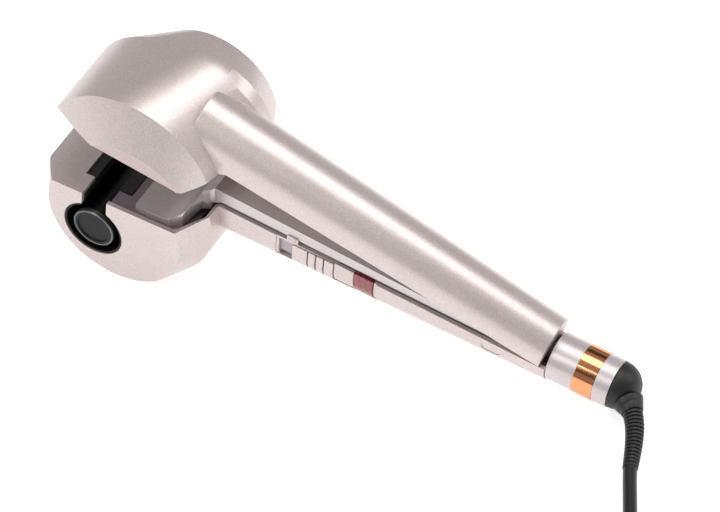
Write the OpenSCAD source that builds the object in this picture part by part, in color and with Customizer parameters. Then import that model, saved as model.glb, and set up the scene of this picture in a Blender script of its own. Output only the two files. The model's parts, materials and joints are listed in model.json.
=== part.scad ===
// Automatic hair curler: two jaws on one tail hinge. Hair laid in the slot is caught by a
// motor-driven rotor, wound round a heated barrel and left through the side mouth as a curl.
// Device axes: X from the barrel to the tail, Y across (the mouth is at -Y), Z up, zero at the
// barrel axis and the parting line's corner. rest() lays the device down on its head and tail.

/* [Head] */
// Radius of the lower jaw's rounded band
head_r = 45; // [44:0.5:50]
// How far the band's axis lies behind the barrel's
head_x = 12.8; // [11:0.2:15]
// Height of the band's axis
head_z = -6.8; // [-8:0.2:-5]
// Half the width between the two side faces
head_half_w = 34.3; // [33:0.1:42]
// Half the width of the lower band between its creases
band_half_w = 21.8; // [19:0.2:26]
// Radius of the lower side faces
face_r = 36.2; // [35:0.2:39]
// Height of the side faces' centre
face_z = -14.4; // [-16:0.2:-13]
// Radius of the upper jaw's band at its near crease
cap_r = 45.3; // [44:0.5:50]
// Height of the upper band's axis when the jaw is shut
cap_z = -18; // [-21:0.5:-15]
// Radius of the panel in the upper jaw's near side
arch_r = 36.4; // [35:0.2:39]
// Height of that panel's centre when the jaw is shut
arch_z = -28.6; // [-30:0.2:-27]
// Slope of the parting line in the head, rise per millimetre towards the tail
part_slope = 0.06; // [0.04:0.01:0.08]

/* [Chamber] */
// Height of the barrel's axis
barrel_z = -25; // [-27:0.5:-24]
// Radius of the heated barrel
barrel_r = 9.2; // [8:0.1:9.6]
// Radius of the barrel's end cap
barrel_cap_r = 11; // [10:0.1:12]
// Radius of the mouth in the side face
mouth_r = 16; // [15.6:0.1:16.6]
// Width of the hair slot
slot_w = 13.5; // [11:0.5:13.5]
// Width of the guide that lines the slot's top
guide_w = 25; // [23:0.5:27]
// Length of the guide across the head
guide_l = 44; // [40:1:48]

/* [Handle] */
// Distance from the barrel's axis to the end of the tail
device_l = 263; // [255:1:300]
// Radius of the lower grip at the head
grip_r = 14.5; // [13.5:0.1:17.4]
// Radius of the upper grip at the head
lid_r = 17; // [16.6:0.1:20]
// Radius of the upper grip at the tail
lid_tail_r = 13.5; // [13:0.1:15]
// Height of the upper grip's axis at the head
lid_z = 15; // [13:0.5:18]
// Height of the parting line where the handle leaves the head
rim_z = 8; // [7:0.2:9]
// Wall of the painted shells
wall = 2.2; // [1.8:0.1:2.6]

/* [Tail] */
// Outer radius of the tail tube
tail_r = 12; // [11.5:0.1:14.4]
// Length of the tail tube
tail_l = 32; // [30:0.5:36]
// Length of the polished ring
ring_l = 10.5; // [8:0.5:12]
// How far the ring stands proud of the tube
ring_proud = 0.15; // [0.1:0.05:0.3]

/* [Jaw hinge] */
// Angle at which the sprung jaw rests open
jaw_open = 8.8; // [6:0.1:10]
// Radius of the hinge pin
pin_r = 1.5; // [1.2:0.1:1.8]
// Gap between the two shells when shut
shut_gap = 0.6; // [0.4:0.1:1]

/* [Rotor drive] */
// Gear module
gear_m = 0.9; // [0.85:0.05:0.9]
// Teeth on the rotor ring if it were whole
rotor_teeth = 42; // [42]
// Teeth on each idler
idler_teeth = 14; // [14]
// Teeth on the motor's gear
drive_teeth = 18; // [18]
// Width of the gears
gear_w = 8; // [6:0.5:8.4]
// Radius of the motor can
motor_r = 11; // [9:0.5:11.5]
// Length of the motor can
motor_l = 22; // [18:0.5:23]

/* [Slide switch] */
// Length of the slide knob
knob_l = 21.9; // [18:0.1:23]
// Distance from the barrel's axis to the head end of the knob at 0
knob_x = 96.6; // [92:0.2:100]
// Travel from 0 through I to II
knob_travel = 4.3; // [3:0.1:5]
// Length of the red lens
lens_l = 10.4; // [8:0.2:12]

/* [Cord] */
// Diameter of the mains lead
cord_d = 6.6; // [6:0.1:7]
// Inner radius of the coil
coil_r = 22; // [20:1:30]
// Length of the plug's pins
plug_pin_l = 19; // [19]
// Distance between the plug's pins
plug_pitch = 18.6; // [18:0.1:19]

/* [Clearances] */
// Radial clearance of a turning fit
run_gap = 0.07; // [0.05:0.01:0.09]
// Gap between pieces that are laid together
fit_gap = 0.3; // [0.2:0.05:0.4]

/* [Hidden] */
$fn = 96;
tail_x = device_l - tail_l;            // where the grips end and the tail tube starts
tail_z = -0.9;                         // height of the tail's axis
lid_end = tail_x - 3;                  // tail end of the upper grip
rim_tail_z = 1.2;                      // height of the parting line at the tail
corner_x = 44;                         // where the parting line turns up to the handle
neck_x = 57;                           // where the handle leaves the head
hinge_x = tail_x + 2.6;
hinge_z = 1.8;
face_x = head_x - 1.7;
arch_x = 19.9;
liner_r = mouth_r - 0.2;               // outside of the chamber's lining
chamber_r = liner_r - 1;               // inside of the chamber
mid_y = 10;                            // plane of the gears
rotor_r = gear_m * rotor_teeth / 2;
idler_r = gear_m * idler_teeth / 2;
drive_r = gear_m * drive_teeth / 2;
rotor_in = chamber_r + 0.1;
plate_t = 1.6;
plate_gap = 0.8;
near_plate_y = mid_y - gear_w / 2 - plate_gap - plate_t;
far_plate_y = mid_y + gear_w / 2 + plate_gap;
knob_end = knob_x + knob_l;
recess_x = knob_x - knob_travel - 3.3; // head end of the finger recess
lens_x = knob_end + 10.9;
window_lo = -7.6;                      // lower edge of the knob and the lens
window_hi = 5.2;                       // their upper edge
ring_x = device_l - 18.1;
cover_front = 19.5;                    // front edge of the silver cover
cover_top = 18;                        // its height where the handle starts
cover_w = 13;                          // its half width there
cover_tail_w = 10.8;

// The resting attitude: the band and the tail's lower edge both touch the table.
rest_dx = device_l - head_x;
rest_dz = head_z - (tail_z - tail_r);
rest_tilt = asin(head_r / norm([rest_dx, rest_dz])) - atan2(rest_dz, rest_dx);
boot_r = tail_r - 0.4;
rest_x_lo = cos(rest_tilt) * head_x + sin(rest_tilt) * head_z - head_r;
rest_x_hi = cos(rest_tilt) * (device_l + 0.4) + sin(rest_tilt) * tail_z + boot_r;
rest_x = -(rest_x_lo + rest_x_hi) / 2;
rest_z = sin(rest_tilt) * device_l - cos(rest_tilt) * (tail_z - tail_r);
boot_x = rest_x + cos(rest_tilt) * (device_l + 0.4) + sin(rest_tilt) * tail_z;
boot_z = rest_z - sin(rest_tilt) * (device_l + 0.4) + cos(rest_tilt) * tail_z;

shell_paint = "#d9c3bd";
silver_paint = "#c3bbbc";
recess_paint = "#6d5f64";
black_nylon = "#1d1d1f";
dark_grey = "#3c3c3e";
steel = "#b9bcc0";
copper = "#c98a55";

module rest() { translate([rest_x, 0, rest_z]) rotate([0, rest_tilt, 0]) children(); }
module jaw() {
  rest() translate([hinge_x, 0, hinge_z]) rotate([0, jaw_open, 0])
    translate([-hinge_x, 0, -hinge_z]) children();
}
// A cylinder along Y between two y values, centred at x, z
module ycyl(x, z, r, y0, y1, fn = 96) {
  translate([x, y1, z]) rotate([90, 0, 0]) cylinder(r = r, h = y1 - y0, $fn = fn);
}
// A cylinder along X between two x values, centred at z
module xcyl(x0, x1, r, z = tail_z, fn = 96) {
  translate([x0, 0, z]) rotate([0, 90, 0]) cylinder(r = r, h = x1 - x0, $fn = fn);
}
module box(x0, x1, y0, y1, z0, z1) { translate([x0, y0, z0]) cube([x1 - x0, y1 - y0, z1 - z0]); }
// A side profile in X and Z, extruded across the whole width
module across(points, y0 = -60, y1 = 60) {
  translate([0, y1, 0]) rotate([90, 0, 0]) linear_extrude(y1 - y0) polygon(points);
}

// ---- parting line ----
function parting(x) = x < corner_x ? -part_slope * (corner_x - x)
  : x < neck_x ? rim_z * (x - corner_x) / (neck_x - corner_x)
  : rim_z + (rim_tail_z - rim_z) * (x - neck_x) / (lid_end - neck_x);
// The head's parting plane, carried on past its corner, and the floor sunk below it
function head_plane(x) = -part_slope * (corner_x - x);
function floor_z(x) = head_plane(x) - 2.2;
split_x = [-60, corner_x, neck_x, lid_end, device_l];
module below_split(drop = 0) {
  across(concat([for (x = split_x) [x, parting(x) - drop]], [[device_l, -90], [-60, -90]]));
}
module above_split(rise = 0) {
  across(concat([for (x = split_x) [x, parting(x) + rise]], [[device_l, 90], [-60, 90]]));
}

// ---- lower jaw ----
module lower_head(in = 0) {
  hull() {
    ycyl(head_x, head_z, head_r - in, -band_half_w, band_half_w);
    ycyl(face_x, face_z, face_r - in, -head_half_w + in, head_half_w - in);
  }
}
module lower_grip(in = 0, x0 = 30, x1 = tail_x) {
  hull() for (z = [tail_z, tail_z + 16]) {
    xcyl(x0, x0 + 1, grip_r - in, z);
    xcyl(x1 - 1, x1, tail_r + 0.5 - in, z);
  }
}
module head_slot(w, y0, y1, z0) { box(-w / 2, w / 2, y0, y1, z0, 20); }

module lower_shell() color(shell_paint) rest() {
  difference() {
    union() {
      intersection() { lower_head(); below_split(); }
      intersection() { lower_grip(); below_split(); }
    }
    difference() {
      union() { lower_head(wall); lower_grip(wall, 30, tail_x + 1); }
      // solid deck over the front of the head, in line with the rim
      intersection() {
        across([[-60, parting(-60) - wall], [-guide_w / 2 + 1, parting(-guide_w / 2 + 1) - wall],
                [-guide_w / 2 + 1, 30], [-60, 30]]);
        lower_head(wall);
      }
      box(-guide_w / 2, slot_w / -2, -head_half_w, -guide_l / 2, parting(-guide_w / 2) - wall, 20);
      box(-guide_w / 2, slot_w / 2, guide_l / 2, head_half_w, parting(-guide_w / 2) - wall, 20);
    }
    ycyl(0, barrel_z, mouth_r, -head_half_w - 5, -head_half_w + wall + 3);
    head_slot(slot_w, -head_half_w - 5, -guide_l / 2 + 0.1, barrel_z);
    box(-guide_w / 2 + 1 - fit_gap, guide_w / 2 + 1 + fit_gap, -guide_l / 2 - fit_gap,
        guide_l / 2 + fit_gap, -12, 20);
    // shallow bezel round the switch and lens, and their two windows
    difference() {
      box(recess_x - 1.5, lens_x + lens_l + 1.8, -30, -5, window_lo - 1.2, 20);
      lower_grip(0.5);
    }
    box(recess_x, knob_end + fit_gap, -30, -5, window_lo - fit_gap, window_hi + fit_gap);
    box(lens_x - fit_gap, lens_x + lens_l + fit_gap, -30, -5, window_lo - fit_gap, window_hi + fit_gap);
    for (x = screw_xs) translate([x, 0, lower_bottom(x)]) {
      translate([0, 0, -2]) cylinder(r = 1.7, h = 8, $fn = 32);
      translate([0, 0, -2]) cylinder(r = 3.1, h = 3, $fn = 32);
    }
    side_plug_hole(0);
  }
}
screw_xs = [70, 165, 214];
// Height of the lower grip's underside at x
function lower_bottom(x) = tail_z - grip_r + (grip_r - tail_r - 0.5) * (x - 30) / (tail_x - 30);
plug_x = 203;
module side_plug_hole(in) {
  for (s = [-1, 1]) ycyl(plug_x + s * 2, -2.2, 3 - in, -30, -5, 48);
  box(plug_x - 2, plug_x + 2, -30, -5, -5.2 + in, 0.8 - in);
}
module side_plug() color(shell_paint) rest() intersection() {
  side_plug_hole(0.15);
  difference() { lower_grip(0.25); lower_grip(2); }
}
// The floor that is sunk below the rim, beside and behind the slot
module recess_floor() color(recess_paint) rest() difference() {
  intersection() {
    lower_head(wall + fit_gap);
    across([[slot_w / 2 + fit_gap, floor_z(slot_w / 2)], [neck_x - 8, floor_z(neck_x - 8)],
            [neck_x - 8, floor_z(neck_x - 8) - 1.4], [slot_w / 2 + fit_gap, floor_z(slot_w / 2) - 1.4]]);
  }
  box(0, guide_w / 2 + 1 + fit_gap, -guide_l / 2 - fit_gap, 60, -12, 5);
  box(0, guide_w / 2 + 1 + fit_gap, guide_l / 2 - 1, 60, -12, 5);
}

// ---- slot, chamber and barrel ----
module slot_guide() color(dark_grey) rest() {
  difference() {
    union() {
      intersection() {
        box(-guide_w / 2 + 1, guide_w / 2 + 1, -guide_l / 2, guide_l / 2, -11, 0);
        below_split(1.6);
      }
      box(-slot_w / 2 - 1.6, slot_w / 2 + 1.6, -head_half_w + wall + fit_gap, -guide_l / 2, -11, -6);
    }
    head_slot(slot_w, -60, guide_l / 2 - 2, -30);
    ycyl(0, barrel_z, liner_r + fit_gap, -40, 40);
    ycyl(0, barrel_z, rotor_r + 1.9, near_plate_y - fit_gap, far_plate_y + plate_t + fit_gap);
    ycyl(0, barrel_z, liner_r + 2 + fit_gap, far_plate_y, barrel_root + 4);
  }
}
module liner(y0, y1) {
  difference() {
    ycyl(0, barrel_z, liner_r, y0, y1);
    ycyl(0, barrel_z, chamber_r, y0 - 1, y1 + 1);
    head_slot(slot_w, y0 - 1, y1 + 1, barrel_z);
  }
}
bearing_l = 1;                         // how far a liner reaches into the rotor
module front_liner() color(black_nylon) rest() {
  liner(-head_half_w + 0.4, mid_y - gear_w / 2 + bearing_l);
}
module rear_liner() color(black_nylon) rest() {
  liner(mid_y + gear_w / 2 - bearing_l, far_plate_y + plate_t + 3);
  difference() {
    ycyl(0, barrel_z, liner_r + 2, far_plate_y + plate_t, far_plate_y + plate_t + 3);
    ycyl(0, barrel_z, liner_r - 0.5, far_plate_y, far_plate_y + plate_t + 4);
    head_slot(slot_w, 0, 40, barrel_z);
  }
}
barrel_end = -head_half_w + 2.6;       // outer end of the barrel tube
barrel_root = far_plate_y + plate_t + 3;
module barrel() color(black_nylon) rest() {
  difference() {
    union() {
      ycyl(0, barrel_z, barrel_r, barrel_end, barrel_root + 2);
      ycyl(0, barrel_z, liner_r + 1.6, barrel_root, barrel_root + 2);
    }
    ycyl(0, barrel_z, barrel_r - 1.6, barrel_end - 1, barrel_root + 3);
    for (a = [45 : 90 : 315]) rotate_about_barrel(a)
      ycyl(liner_r - 1.2, 0, 1.1, barrel_root - 1, barrel_root + 3, 32);
  }
}
module rotate_about_barrel(a) { translate([0, 0, barrel_z]) rotate([0, -a, 0]) children(); }
module barrel_cap() color(black_nylon) rest() {
  difference() {
    union() {
      ycyl(0, barrel_z, barrel_cap_r - 1, barrel_end - 2.4, barrel_end);
      ycyl(0, barrel_z, barrel_r - 1.6 - 0.05, barrel_end, barrel_end + 4);
    }
    ycyl(0, barrel_z, barrel_cap_r - 2.4, barrel_end - 3, barrel_end - 1.8);
  }
}
module barrel_ring() color("#6f7173") rest() translate([0, barrel_end, barrel_z]) rotate([90, 0, 0])
  rotate_extrude() translate([barrel_cap_r - 1, 0]) polygon([[0, 0], [1, 0], [1, 2], [0.7, 2.4], [0, 2.4]]);
module heater_core() color("#d8d2c4") rest() {
  box(-4.2, 4.2, barrel_end + 6, barrel_root + 1, barrel_z - 2.6, barrel_z + 2.6);
}
module heater_clips() color(steel) rest() {
  for (s = [-1, 1]) intersection() {
    ycyl(0, barrel_z, barrel_r - 1.7, barrel_end + 8, barrel_root - 2);
    translate([0, 0, s * 4.8]) box(-6, 6, -60, 60, barrel_z - 2, barrel_z + 2);
  }
}
module barrel_screws() color(steel) rest() {
  for (a = [45 : 90 : 315]) rotate_about_barrel(a) {
    ycyl(liner_r - 1.2, 0, 1, barrel_root + 0.3, barrel_root + 2, 32);
    ycyl(liner_r - 1.2, 0, 1.9, barrel_root + 2, barrel_root + 3.2, 32);
  }
}
module thermal_fuse() color("#cfc9b8") rest() {
  ycyl(0, barrel_z + 12.6, 1.9, barrel_root + 2, barrel_root + 8, 32);
}

// ---- rotor and its gears ----
press_angle = 25;
gear_slack = 0.12;                     // taken off each tooth's thickness
// Half tooth angle at radius r for a gear with n teeth
function half_tooth(n, r) = let (rp = gear_m * n / 2, rb = rp * cos(press_angle),
    a = acos(min(1, rb / r)))
  90 / n - gear_slack / 2 / rp * 180 / PI
  + (tan(press_angle) * 180 / PI - press_angle) - (tan(a) * 180 / PI - a);
module gear_outline(n, turn) {
  rp = gear_m * n / 2;
  rb = rp * cos(press_angle);
  root = rp - 1.1 * gear_m;
  tip = rp + 0.8 * gear_m;
  low = max(rb, root + 0.1);
  flank = [for (k = [0 : 3]) low + (tip - low) * k / 3];
  polygon([for (i = [0 : n - 1]) let (c = turn + i * 360 / n) each concat(
    [let (h = half_tooth(n, low)) root * [cos(c - h), sin(c - h)]],
    [for (r = flank) let (h = half_tooth(n, r)) r * [cos(c - h), sin(c - h)]],
    [for (k = [3 : -1 : 0]) let (r = flank[k], h = half_tooth(n, r)) r * [cos(c + h), sin(c + h)]],
    [let (h = half_tooth(n, low)) root * [cos(c + h), sin(c + h)]])]);
}
// A gear about Y at x, z: angles run from +X towards +Z
module gear(x, z, n, turn, bore) {
  translate([x, mid_y, z]) rotate([90, 0, 0]) difference() {
    linear_extrude(gear_w - 0.6, center = true) gear_outline(n, turn);
    cylinder(r = bore, h = 20, center = true, $fn = 48);
  }
}
// The idlers stand at plus and minus this angle from the rotor, the motor's gear between them.
function idler_at(a) = (rotor_r + idler_r) * [cos(a), sin(a)];
function drive_at(a) = idler_at(a)[0] + sqrt(pow(idler_r + drive_r, 2) - pow(idler_at(a)[1], 2));
function idler_turn(a) = a + 180 + (0.5 + rotor_teeth * a / 360) * 360 / idler_teeth;
// Where round its tooth pitch the motor's gear meets the axis, in teeth: it has to be a half
function loop_phase(a) = let (b = atan2(idler_at(a)[1], drive_at(a) - idler_at(a)[0]),
    p = idler_teeth * (-b - idler_turn(a)) / 360)
  0.5 - p + drive_teeth * b / 360;
function closes(a, target) = loop_phase(a) - target;
function solve(lo, hi, target, n) = n == 0 ? (lo + hi) / 2
  : closes(lo, target) * closes((lo + hi) / 2, target) <= 0 ? solve(lo, (lo + hi) / 2, target, n - 1)
  : solve((lo + hi) / 2, hi, target, n - 1);
loop_goal = round(2 * loop_phase(25.5)) / 2;
idler_a = solve(20, 31, loop_goal, 40);
idler_pos = idler_at(idler_a);
drive_x = drive_at(idler_a);
drive_turn = 180 - loop_goal * 360 / drive_teeth;

module rotor_ring() color("#2b2b2d") rest() difference() {
  translate([0, mid_y, barrel_z]) rotate([90, 0, 0]) difference() {
    union() {
      linear_extrude(gear_w - 2 * fit_gap, center = true) gear_outline(rotor_teeth, 0);
      cylinder(r = rotor_r - 1.6, h = gear_w, center = true);
    }
    cylinder(r = rotor_in, h = 20, center = true);
    for (s = [-1, 1]) translate([0, 0, s * (gear_w / 2 - bearing_l / 2 - 0.1)])
      cylinder(r = liner_r + run_gap, h = bearing_l + 0.4, center = true);
    translate([-slot_w / 2 - 0.3, 5, -10]) cube([slot_w + 0.6, 40, 20]);
  }
  rotate_about_barrel(128) box(barrel_r + 2, rotor_in + 1.2, mid_y - 2.05, mid_y + 2.05, -1.15, 1.15);
}
module hair_hook() color("#3a3a3c") rest() rotate_about_barrel(128) {
  box(barrel_r + 2.2, rotor_in + 1.2, mid_y - 2, mid_y + 2, -1.1, 1.1);
  box(barrel_r + 2.2, barrel_r + 4, mid_y - 2, mid_y + 2, -4, -1);
}
module idler_a_gear() color("#e7e2d6") rest()
  gear(idler_pos[0], barrel_z + idler_pos[1], idler_teeth, idler_turn(idler_a), 1.5 + run_gap);
module idler_b_gear() color("#e7e2d6") rest()
  gear(idler_pos[0], barrel_z - idler_pos[1], idler_teeth, -idler_turn(idler_a), 1.5 + run_gap);
module drive_gear() color("#e7e2d6") rest() gear(drive_x, barrel_z, drive_teeth, drive_turn, 1.2);
module motor_shaft() color(steel) rest()
  ycyl(drive_x, barrel_z, 1.2, near_plate_y - 4, far_plate_y + 0.8, 48);
module idler_pins() color(steel) rest() {
  for (s = [-1, 1]) ycyl(idler_pos[0], barrel_z + s * idler_pos[1], 1.5, near_plate_y, far_plate_y + plate_t, 48);
}
module bearing_plate(y, shaft_r) {
  difference() {
    intersection() {
      union() {
        ycyl(0, barrel_z, rotor_r + 1.6, y, y + plate_t);
        box(8, drive_x + 10, y, y + plate_t, barrel_z - 15.5, barrel_z + 15.5);
      }
      lower_head(wall + fit_gap);
    }
    ycyl(0, barrel_z, liner_r + 0.1, y - 1, y + plate_t + 1);
    head_slot(slot_w + 0.4, y - 1, y + plate_t + 1, barrel_z);
    for (s = [-1, 1])
      ycyl(idler_pos[0], barrel_z + s * idler_pos[1], 1.5, y - 1, y + plate_t + 1, 48);
    ycyl(drive_x, barrel_z, shaft_r, y - 1, y + plate_t + 1, 48);
    for (s = [-1, 1]) ycyl(drive_x, barrel_z + s * 7.5, 1.1, y - 1, y + plate_t + 1, 32);
  }
}
module near_plate() color("#8f9296") rest() bearing_plate(near_plate_y, 2.6);
module far_plate() color("#8f9296") rest() bearing_plate(far_plate_y, 1.2 + run_gap);
module motor() color("#9a9da1") rest() difference() {
  union() {
    ycyl(drive_x, barrel_z, motor_r, near_plate_y - motor_l, near_plate_y);
    ycyl(drive_x, barrel_z, 4, near_plate_y - motor_l - 1.6, near_plate_y, 48);
  }
  ycyl(drive_x, barrel_z, 1.2 + run_gap, near_plate_y - 4.2, near_plate_y + 1, 48);
  for (s = [-1, 1]) ycyl(drive_x, barrel_z + s * 7.5, 0.95, near_plate_y - 3, near_plate_y + 1, 32);
}
module motor_screws() color(steel) rest() {
  for (s = [-1, 1]) {
    ycyl(drive_x, barrel_z + s * 7.5, 0.9, near_plate_y - 2.6, near_plate_y + plate_t, 32);
    ycyl(drive_x, barrel_z + s * 7.5, 1.5, near_plate_y + plate_t, near_plate_y + plate_t + 0.5, 32);
  }
}

// ---- silver cover ----
ramp_r = 17;
ramp_x = 31;                           // where the cover starts to sweep up to the handle
plate_z = 1.7;                         // height of its front plate over the head's parting plane
function cover_z(x) = cover_top + (6.4 - cover_top) * (x - 50) / (lid_end - 56);
module cover_side(in) {
  across(concat([[cover_front + in, head_plane(cover_front) + plate_z - in]],
    [for (k = [0 : 8]) let (a = k * 9.4) [ramp_x + (ramp_r + in) * sin(a),
      head_plane(ramp_x) + plate_z + ramp_r - (ramp_r + in) * cos(a)]],
    [[ramp_x + ramp_r + 5, cover_z(54) - in], [lid_end - 5 - in, cover_z(lid_end - 5) - in],
     [lid_end - 5 - in, 1.5 - 2 * in], [corner_x + 4, 3 - 3 * in], [corner_x, floor_z(corner_x) + 0.05 - in],
     [cover_front + in, floor_z(cover_front) + 0.05 - in]]));
}
module cover_plan(in) {
  half = [[cover_front + in, 28.6 - in], [27, 30 - in], [39, 29.4 - in], [44 - in, 26.4 - in],
          [48.5 - in, 16 - in], [53, cover_w - in], [lid_end - 5 - in, cover_tail_w - in]];
  linear_extrude(80, center = true)
    polygon(concat(half, [for (k = [6 : -1 : 0]) [half[k][0], -half[k][1]]]));
}
module inner_cover() color(silver_paint) rest() difference() {
  intersection() {
    cover_side(0);
    cover_plan(0);
    // the room inside the upper jaw when it is shut
    union() { upper_head(wall + 0.8); upper_grip(wall + 0.35, lid_end); }
    // the skirt below the groove is narrower than the wall above it
    union() {
      box(0, 52, -60, 60, -20, 60);
      across([[50, parting(50) + 1.9], [neck_x, rim_z + 1.9], [lid_end, rim_tail_z + 1.9], [lid_end, 60], [50, 60]]);
      box(50, 300, -9.6, 9.6, -20, 60);
    }
  }
  intersection() {
    cover_side(1.5);
    cover_plan(1.5);
    union() { upper_head(wall + 2.3); upper_grip(wall + 1.85, lid_end); }
    union() {
      box(corner_x - 8, neck_x - 7, -24, 24, -20, 60);
      across([[49, rim_z + 3.4], [neck_x, rim_z + 3.4], [lid_end, rim_tail_z + 3.4], [lid_end, 60], [49, 60]]);
      box(49, 300, -8.1, 8.1, -20, 60);
    }
  }
  box(178, lid_end + 5, -6.3, 6.3, -3, 40);
}
// The small plate with the switch's marks, bridging the groove
module mark_plate() color(shell_paint) rest()
  across([[recess_x + 4, parting(recess_x + 4) + 0.02], [recess_x + 10, parting(recess_x + 10) + 0.02],
          [recess_x + 10, parting(recess_x + 10) + 3], [recess_x + 4, parting(recess_x + 4) + 3]],
         -13.4, -12.56);

// ---- inside the handle ----
board_z = -6;
module main_board() color("#2f6b3c") rest() {
  box(62, 172, -8.6, 8.6, board_z, board_z + 1.6);
  for (p = [[66, -7, 9, 6, 3], [80, -2, 8, 8, 2], [94, 1, 6, 5, 4], [124, -4, 12, 9, 3], [142, -6, 7, 12, 6],
            [156, -5, 10, 10, 5]])
    translate([p[0], p[1], board_z + 1.6]) cube([p[2], p[3], p[4]]);
}
module hall_sensor() color(black_nylon) rest() box(150.5, 154.5, -1.5, 1.5, board_z + 1.6, board_z + 4.2);
module buzzer() color(black_nylon) rest() translate([112, 1, board_z + 1.6]) difference() {
  cylinder(r = 4.6, h = 5, $fn = 48);
  translate([0, 0, 3]) cylinder(r = 0.8, h = 4, $fn = 24);
}
module power_board() color("#2f6b3c") rest() {
  box(176, 222, -8.4, 8.4, board_z, board_z + 1.6);
  for (p = [[178, -7, 12, 13, 6.4], [193, -6, 6, 8, 4], [206, 1, 6, 6, 5]])
    translate([p[0], p[1], board_z + 1.6]) cube([p[2], p[3], p[4]]);
}
module supply_leads() color("#7a3f2a") rest() for (s = [-1, 1])
  translate([0, s * 2.2, 0]) xcyl(222.2, device_l - 8, 1, board_z + 1.2, 16);
module case_screws() color(steel) rest() for (x = screw_xs) translate([x, 0, lower_bottom(x)]) {
  translate([0, 0, 0.2]) cylinder(r = 2.8, h = 0.8, $fn = 32);
  translate([0, 0, 1]) cylinder(r = 1.4, h = 6.3, $fn = 32);
}

// ---- slide switch and lens ----
module band_of_grip(x0, x1, out, in) {
  intersection() {
    difference() { lower_grip(out); lower_grip(in); }
    box(x0, x1, -30, -5, window_lo, window_hi);
  }
}
module slide_knob() color(shell_paint) rest() {
  difference() {
    union() {
      band_of_grip(knob_x, knob_end, -0.2, 1.7);
      box(knob_x + 9, knob_x + 13, -12.9, -8.6, -3.2, 0.4);
    }
    for (k = [0 : 2]) translate([knob_x + 8.2 + k * 4.3, 0, 0]) difference() {
      box(-0.35, 0.35, -30, -5, window_lo - 1, window_hi + 1);
      lower_grip(0.5);
    }
  }
}
module switch_bezel() color("#b9adb2") rest() difference() {
  intersection() {
    difference() { lower_grip(wall + 0.1); lower_grip(wall + 1.3); }
    box(recess_x - 1, knob_end + 2, -30, -5, window_lo - 1, window_hi + 0.6);
  }
  box(knob_x + 9 - knob_travel - fit_gap, knob_x + 13 + fit_gap, -20, -2, -3.5, 0.7);
}
module slide_switch() color(black_nylon) rest() difference() {
  box(knob_x + 1, knob_x + 18, -9.3, -4.4, board_z + 1.6, 1.4);
  box(knob_x + 9 - knob_travel - fit_gap, knob_x + 13 + fit_gap, -11, -8.3, -3.5, 0.7);
}
module indicator_lens() color("#8c0f18") rest() band_of_grip(lens_x, lens_x + lens_l, 0, 2);
module indicator_led() color("#d8d8d8") rest() {
  translate([lens_x + lens_l / 2, -7, board_z + 1.6]) cylinder(r = 1.5, h = 3.6, $fn = 24);
}

// ---- tail ----
module tail_half(side) {
  difference() {
    union() {
      intersection() {
        difference() {
          xcyl(tail_x + fit_gap, device_l, tail_r);
          xcyl(tail_x - 1, device_l - 2, tail_r - 1.6);
          xcyl(device_l - 3, device_l + 1, boot_neck + run_gap);
          difference() { xcyl(ring_x, ring_x + ring_l, tail_r + 1); xcyl(ring_x - 1, ring_x + ring_l + 1, tail_r - 0.6); }
        }
        box(0, 400, side > 0 ? 0.03 : -60, side > 0 ? 60 : -0.03, -60, 60);
      }
      ycyl(hinge_x, hinge_z, 3.4, side > 0 ? 5.6 : -10.4, side > 0 ? 10.4 : -5.6, 48);
    }
    ycyl(hinge_x, hinge_z, pin_r + 0.02, -10, 10, 48);
    difference() { xcyl(tail_x - 6, device_l + 6, 30); xcyl(tail_x - 7, device_l + 7, tail_r); }
    box(tail_x - 8, tail_x + fit_gap, -30, 30, -30, 30);
  }
}
boot_neck = 6.4;
module tail_near() color(silver_paint) rest() tail_half(-1);
module tail_far() color(silver_paint) rest() tail_half(1);
module tail_ring() color(copper) rest() difference() {
  xcyl(ring_x + 0.05, ring_x + ring_l - 0.05, tail_r + ring_proud);
  xcyl(ring_x - 1, ring_x + ring_l + 1, tail_r - 0.6);
}
module hinge_pin() color(steel) rest() ycyl(hinge_x, hinge_z, pin_r, -9.6, 9.6, 48);
module hinge_spring() color(steel) rest() translate([hinge_x, 5.2, hinge_z]) rotate([90, 0, 0])
  rotate_extrude($fn = 48) for (k = [0 : 4]) translate([2.5, 0.4 + k * 0.7]) circle(r = 0.4, $fn = 16);

// ---- upper jaw, drawn shut ----
module upper_head(in = 0) {
  hull() {
    ycyl(head_x, cap_z, cap_r - in, -24, 20);
    ycyl(26, -4, 37.5 - in, 14, 21);
    ycyl(23.4, -2.7, 33.2 - in, 24, head_half_w - in);
    ycyl(arch_x, arch_z, arch_r - in, -head_half_w + in, -head_half_w + in + 2);
  }
}
module upper_grip(in = 0, x1 = lid_end) {
  hull() for (p = [[0, 0], [-14, -14]]) {
    xcyl(34, 35, lid_r - in, lid_z + p[0]);
    xcyl(x1 - 1, x1, lid_tail_r - in, 4.8 + p[1]);
  }
}
module upper_shell() color(shell_paint) jaw() {
  difference() {
    union() {
      intersection() { upper_head(); above_split(shut_gap); }
      intersection() { upper_grip(); above_split(shut_gap); }
    }
    upper_head(wall);
    upper_grip(wall, lid_end + 1);
    // the arch in the near side, which the liner's panel fills
    ycyl(arch_x, arch_z, arch_r - 0.2, -head_half_w - 1, -head_half_w + wall + 0.6);
  }
}
module upper_liner() color("#c9aeab") jaw() intersection() {
  above_split(shut_gap);
  union() {
    ycyl(arch_x, arch_z, arch_r - 0.2 - fit_gap, -head_half_w + 0.3, -head_half_w + wall + 0.5);
    intersection() {
      upper_head(wall + fit_gap);
      across([[-60, parting(-60)], [cover_front - 0.8, parting(cover_front)],
              [cover_front - 0.8, parting(cover_front) + 2.6], [-60, parting(-60) + 2.6]]);
    }
  }
}
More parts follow.
